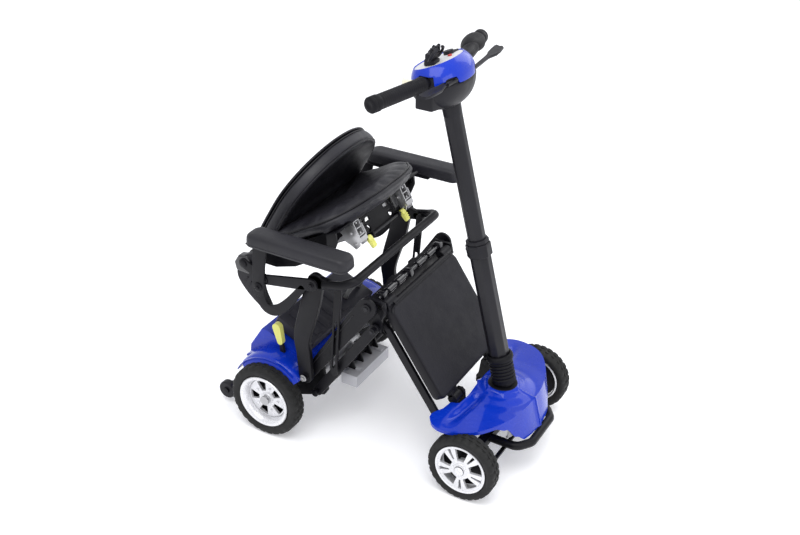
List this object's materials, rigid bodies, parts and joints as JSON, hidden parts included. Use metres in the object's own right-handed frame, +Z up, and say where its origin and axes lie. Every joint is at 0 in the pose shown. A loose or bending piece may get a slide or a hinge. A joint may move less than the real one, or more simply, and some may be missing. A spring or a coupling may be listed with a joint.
{
  "type": "folding mobility scooter",
  "caption": "Folding travel scooter for one rider, half folded: hinged floor plate, tipped seat with folded backrest, flip-up arms, steering tiller with swept bar.",
  "frame": {"origin": "on the ground, at the middle of the object's length and width", "axes": "+Z up; the rider faces -Y; +X is the rider's left"},
  "size_m": [0.608, 0.865, 1.0517],
  "materials": {
    "black_steel": "satin powder coat",
    "black_tube": "satin paint on extruded tube",
    "black_plastic": "fine moulded grain",
    "rubber": "soft matte",
    "tyre": "solid tyre rubber",
    "wheel_silver": "silver paint",
    "aluminium": "anodised",
    "steel": "plated",
    "blue_paint": "metallic blue under clear coat",
    "pale_plastic": "smooth light grey",
    "yellow_plastic": "dipped yellow-green",
    "red_plastic": "smooth red",
    "vinyl": "soft black vinyl"
  },
  "bodies": {
    "rear_unit": {"rear_frame": "black_steel", "rear_pivots": "black_steel", "drive_unit": "aluminium", "rear_cover": "blue_paint", "controller": "aluminium"},
    "battery": {"battery": "black_plastic", "battery_handle": "aluminium"},
    "rear_wheels": {"rear_axle": "steel", "rear_rims": "wheel_silver", "rear_tyres": "tyre"},
    "anti_tip_wheel_right": {"anti_tip_wheel_right": "black_plastic"},
    "anti_tip_wheel_left": {"anti_tip_wheel_left": "black_plastic"},
    "freewheel": {"freewheel_lever": "black_plastic", "freewheel_grip": "yellow_plastic"},
    "rear_arms": {"rear_arms": "black_steel"},
    "rear_links": {"rear_links": "black_steel"},
    "apex": {"apex_frame": "black_steel"},
    "floor_plate": {"floor_plate": "black_plastic"},
    "front_links": {"front_links": "black_steel"},
    "front_unit": {"front_frame": "black_steel", "front_cover": "blue_paint", "under_cover": "pale_plastic", "bumper": "black_steel"},
    "knuckle_right": {"knuckle_right": "black_steel"},
    "knuckle_left": {"knuckle_left": "black_steel"},
    "front_wheel_right": {"front_tyre_right": "tyre", "front_rim_right": "wheel_silver"},
    "front_wheel_left": {"front_tyre_left": "tyre", "front_rim_left": "wheel_silver"},
    "tie_rod": {"tie_rod": "black_steel"},
    "steering": {"steering_shaft": "black_steel", "boot": "rubber"},
    "tiller": {"lower_column": "black_tube", "collar": "black_plastic"},
    "tiller_top": {"upper_column": "black_tube", "handlebar": "black_steel", "grips": "rubber", "console_bowl": "black_plastic", "console_cap": "blue_paint", "console_panel": "pale_plastic", "phone_clip": "black_plastic"},
    "drive_lever_right": {"drive_lever_right": "black_plastic"},
    "drive_lever_left": {"drive_lever_left": "black_plastic"},
    "speed_dial": {"speed_dial": "black_plastic"},
    "ignition_key": {"ignition_key": "steel"},
    "horn_button": {"horn_button": "red_plastic"},
    "posts": {"post_frame": "black_steel"},
    "struts": {"struts": "black_steel"},
    "seat_base": {"seat_frame": "black_steel", "hinge_covers": "black_plastic"},
    "armrest_right": {"armrest_bracket_right": "black_steel", "armrest_pad_right": "rubber"},
    "armrest_left": {"armrest_bracket_left": "black_steel", "armrest_pad_left": "rubber"},
    "seat": {"seat_rails": "aluminium", "seat_pan": "black_steel", "seat_cushion": "vinyl"},
    "release_tabs": {"release_tabs": "yellow_plastic"},
    "backrest": {"backrest_cushion": "vinyl", "backrest_shell": "black_plastic"}
  },
  "joints": [
    {"name": "fold", "type": "hinge", "parent": "rear_unit", "child": "rear_arms", "pos_m": [0, 0.14, 0.188], "axis": [-1, 0, 0], "range_deg": [-55.5, 16]},
    {"name": "rear_link_swing", "type": "hinge", "parent": "rear_unit", "child": "rear_links", "pos_m": [0, 0.125, 0.128], "axis": [-1, 0, 0], "range_deg": [-56, 16.5]},
    {"name": "apex_level", "type": "hinge", "parent": "rear_arms", "child": "apex", "pos_m": [0, -0.02822, 0.43277], "axis": [-1, 0, 0], "range_deg": [-16.5, 56]},
    {"name": "plate_fold", "type": "hinge", "parent": "apex", "child": "floor_plate", "pos_m": [0, -0.05822, 0.43277], "axis": [1, 0, 0], "range_deg": [-56, 16.5]},
    {"name": "front_link_swing", "type": "hinge", "parent": "apex", "child": "front_links", "pos_m": [0, -0.04322, 0.37277], "axis": [1, 0, 0], "range_deg": [-56, 16.5]},
    {"name": "front_unit_level", "type": "hinge", "parent": "floor_plate", "child": "front_unit", "pos_m": [0, -0.22645, 0.188], "axis": [1, 0, 0], "range_deg": [-16.5, 56]},
    {"name": "post_swing", "type": "hinge", "parent": "rear_unit", "child": "posts", "pos_m": [0, 0.14, 0.188], "axis": [1, 0, 0], "range_deg": [-6.1, 19.92]},
    {"name": "seat_base_level", "type": "hinge", "parent": "posts", "child": "seat_base", "pos_m": [0, 0.101, 0.478], "axis": [1, 0, 0], "range_deg": [-19.92, 6.1]},
    {"name": "strut_swing", "type": "hinge", "parent": "posts", "child": "struts", "pos_m": [0, 0.047, 0.478], "axis": [1, 0, 0], "range_deg": [-11.6, 3.7]},
    {"name": "seat_tilt", "type": "hinge", "parent": "seat_base", "child": "seat", "pos_m": [0, 0.3, 0.48], "axis": [-1, 0, 0], "range_deg": [-29.5, 8.86]},
    {"name": "backrest_fold", "type": "hinge", "parent": "seat", "child": "backrest", "pos_m": [0, 0.3, 0.48], "axis": [-1, 0, 0], "range_deg": [0, 70]},
    {"name": "armrest_flip_right", "type": "hinge", "parent": "seat_base", "child": "armrest_right", "pos_m": [-0.242, 0.254, 0.428], "axis": [-1, 0, 0], "range_deg": [0, 90]},
    {"name": "armrest_flip_left", "type": "hinge", "parent": "seat_base", "child": "armrest_left", "pos_m": [0.242, 0.254, 0.428], "axis": [-1, 0, 0], "range_deg": [0, 90]},
    {"name": "tab_pull", "type": "hinge", "parent": "seat", "child": "release_tabs", "pos_m": [0, 0.03457, 0.55395], "axis": [-1, 0, 0], "range_deg": [-20, 0], "stiffness_Nm_per_rad": 0.05},
    {"name": "rear_wheel_spin", "type": "hinge", "parent": "rear_unit", "child": "rear_wheels", "pos_m": [0, 0.24, 0.101], "axis": [1, 0, 0], "continuous": true},
    {"name": "anti_tip_spin_right", "type": "hinge", "parent": "rear_unit", "child": "anti_tip_wheel_right", "pos_m": [-0.199, 0.408, 0.038], "axis": [1, 0, 0], "continuous": true},
    {"name": "anti_tip_spin_left", "type": "hinge", "parent": "rear_unit", "child": "anti_tip_wheel_left", "pos_m": [0.199, 0.408, 0.038], "axis": [1, 0, 0], "continuous": true},
    {"name": "freewheel_throw", "type": "hinge", "parent": "rear_unit", "child": "freewheel", "pos_m": [-0.19, 0.222, 0.186], "axis": [-1, 0, 0], "range_deg": [0, 30]},
    {"name": "battery_lift", "type": "slide", "parent": "rear_unit", "child": "battery", "axis": [0, -0.4067, 0.9135], "range_m": [0, 0.1]},
    {"name": "steer", "type": "hinge", "parent": "front_unit", "child": "steering", "pos_m": [0, -0.311, 0.21], "axis": [0, 0.2453, 0.9694], "range_deg": [-32, 32]},
    {"name": "kingpin_right", "type": "hinge", "parent": "front_unit", "child": "knuckle_right", "pos_m": [-0.165, -0.313, 0.089], "axis": [0, 0, 1], "range_deg": [-25, 25]},
    {"name": "kingpin_left", "type": "hinge", "parent": "front_unit", "child": "knuckle_left", "pos_m": [0.165, -0.313, 0.089], "axis": [0, 0, 1], "range_deg": [-25, 25]},
    {"name": "tie_rod_shift", "type": "slide", "parent": "front_unit", "child": "tie_rod", "axis": [1, 0, 0], "range_m": [-0.022, 0.022]},
    {"name": "front_wheel_spin_right", "type": "hinge", "parent": "knuckle_right", "child": "front_wheel_right", "pos_m": [-0.217, -0.313, 0.089], "axis": [1, 0, 0], "continuous": true},
    {"name": "front_wheel_spin_left", "type": "hinge", "parent": "knuckle_left", "child": "front_wheel_left", "pos_m": [0.217, -0.313, 0.089], "axis": [1, 0, 0], "continuous": true},
    {"name": "tiller_tilt", "type": "hinge", "parent": "steering", "child": "tiller", "pos_m": [0, -0.29972, 0.25459], "axis": [-1, 0, 0], "range_deg": [-10, 8]},
    {"name": "tiller_height", "type": "slide", "parent": "tiller", "child": "tiller_top", "axis": [0, 0.2453, 0.9694], "range_m": [-0.17, 0.04]},
    {"name": "lever_right", "type": "hinge", "parent": "tiller_top", "child": "drive_lever_right", "pos_m": [-0.04, -0.162, 0.983], "axis": [0, 0, -1], "range_deg": [0, 8], "stiffness_Nm_per_rad": 0.4},
    {"name": "lever_left", "type": "hinge", "parent": "tiller_top", "child": "drive_lever_left", "pos_m": [0.04, -0.162, 0.983], "axis": [0, 0, 1], "range_deg": [0, 8], "stiffness_Nm_per_rad": 0.4},
    {"name": "dial_turn", "type": "hinge", "parent": "tiller_top", "child": "speed_dial", "pos_m": [0.034, -0.10813, 1.0083], "axis": [0, 0.3489, 0.9371], "range_deg": [-135, 135]},
    {"name": "key_turn", "type": "hinge", "parent": "tiller_top", "child": "ignition_key", "pos_m": [-0.006, -0.09875, 1.00481], "axis": [0, 0.3489, 0.9371], "range_deg": [0, 90]},
    {"name": "horn_press", "type": "slide", "parent": "tiller_top", "child": "horn_button", "axis": [0, -0.3489, -0.9371], "range_m": [0, 0.002], "stiffness_N_per_m": 200}
  ],
  "couplings": [
    {"joint": "rear_link_swing", "follows": "fold", "ratio": 1},
    {"joint": "apex_level", "follows": "fold", "ratio": -1},
    {"joint": "plate_fold", "follows": "fold", "ratio": 1},
    {"joint": "front_link_swing", "follows": "fold", "ratio": 1},
    {"joint": "front_unit_level", "follows": "fold", "ratio": -1},
    {"joint": "post_swing", "follows": "fold", "ratio": -0.35},
    {"joint": "seat_base_level", "follows": "fold", "ratio": 0.35},
    {"joint": "strut_swing", "follows": "fold", "ratio": 0.2},
    {"joint": "seat_tilt", "follows": "fold", "ratio": 0.5225},
    {"joint": "kingpin_right", "follows": "steer", "ratio": 0.73},
    {"joint": "kingpin_left", "follows": "steer", "ratio": 0.73},
    {"joint": "tie_rod_shift", "follows": "steer", "m_per_rad": 0.036}
  ]
}
